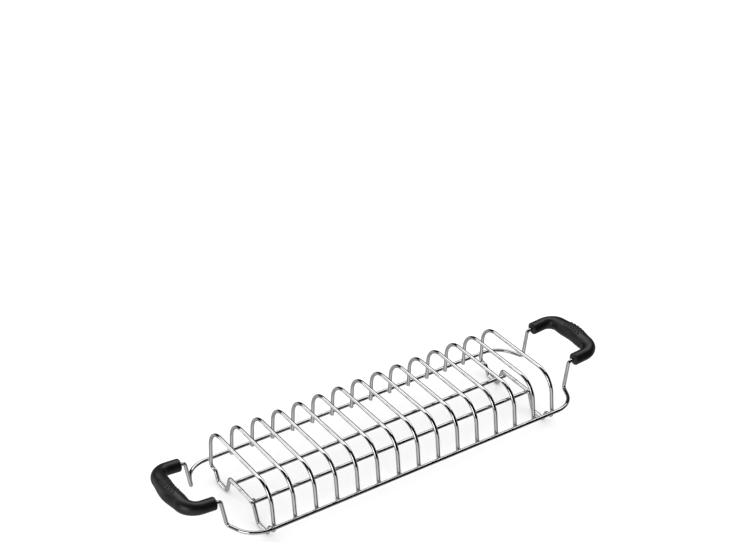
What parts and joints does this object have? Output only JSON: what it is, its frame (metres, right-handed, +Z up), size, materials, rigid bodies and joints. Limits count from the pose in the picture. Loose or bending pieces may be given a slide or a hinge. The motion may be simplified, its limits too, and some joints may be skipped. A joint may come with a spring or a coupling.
{
  "type": "wire warming rack",
  "caption": "Long low rack of rounded bright-wire hoops on a rail, with stepped feet under its end hoops and a moulded grip at each end, for holding bread over a warm surface.",
  "frame": {"origin": "middle of the footprint, on the surface that the four feet stand on", "axes": "+X along the rack to the right handle, +Y across it to the rear rail, +Z up"},
  "size_m": [0.393, 0.1042, 0.0495],
  "materials": {
    "bright_wire": "polished",
    "grip_plastic": "satin"
  },
  "bodies": {
    "root": {"rail_front": "bright_wire", "rail_rear": "bright_wire", "runner_front": "bright_wire", "runner_rear": "bright_wire", "end_hoop_left": "bright_wire", "end_hoop_right": "bright_wire", "hoop_02": "bright_wire", "hoop_03": "bright_wire", "hoop_04": "bright_wire", "hoop_05": "bright_wire", "hoop_06": "bright_wire", "hoop_07": "bright_wire", "hoop_08": "bright_wire", "hoop_09": "bright_wire", "hoop_10": "bright_wire", "hoop_11": "bright_wire", "hoop_12": "bright_wire", "hoop_13": "bright_wire", "hoop_14": "bright_wire", "handle_left": "grip_plastic", "handle_right": "grip_plastic"}
  },
  "joints": []
}
